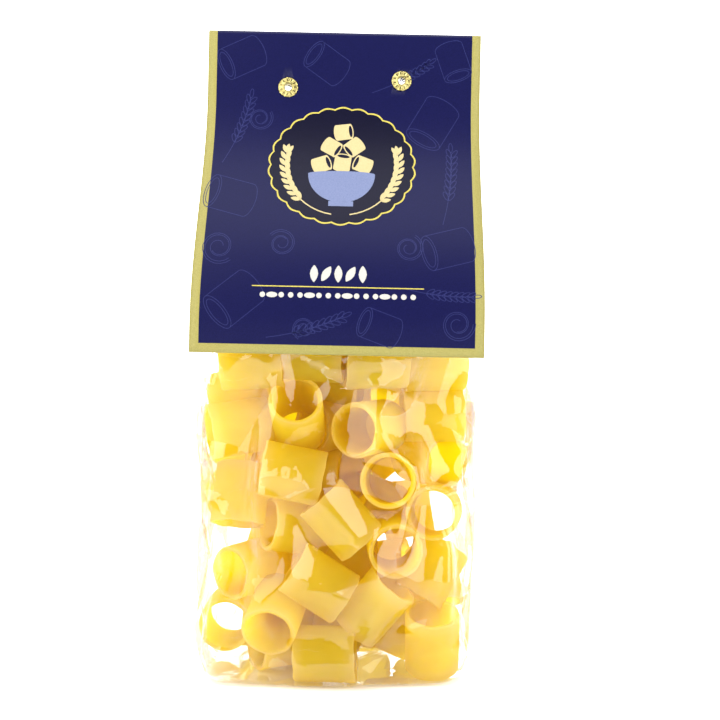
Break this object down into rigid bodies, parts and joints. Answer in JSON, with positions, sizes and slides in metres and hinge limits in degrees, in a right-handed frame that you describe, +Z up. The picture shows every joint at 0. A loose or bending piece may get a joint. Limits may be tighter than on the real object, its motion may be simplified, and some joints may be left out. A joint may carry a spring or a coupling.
{
  "type": "pasta pack",
  "caption": "Standing clear block-bottom pouch filled with thick short ring pasta, under a printed header card folded over its neck and held by brass eyelets.",
  "frame": {"origin": "middle of the pack's outline on the surface it stands on", "axes": "+Z up through the pack's neck, +X to the right of the printed front, which faces -Y"},
  "size_m": [0.1289, 0.079, 0.2931],
  "materials": {
    "film": "clear glossy film drawn tight over the rings, with fine creases",
    "pasta": "dry wheat paste, matt amber with paler cut edges, slightly see-through",
    "card": "satin printed board, dark blue with a dull gold border and pale line drawings",
    "eyelet": "polished, slightly worn"
  },
  "bodies": {
    "root": {"pouch": "pasta", "header_card": "card", "eyelet_left": "eyelet", "eyelet_right": "eyelet"}
  },
  "joints": []
}
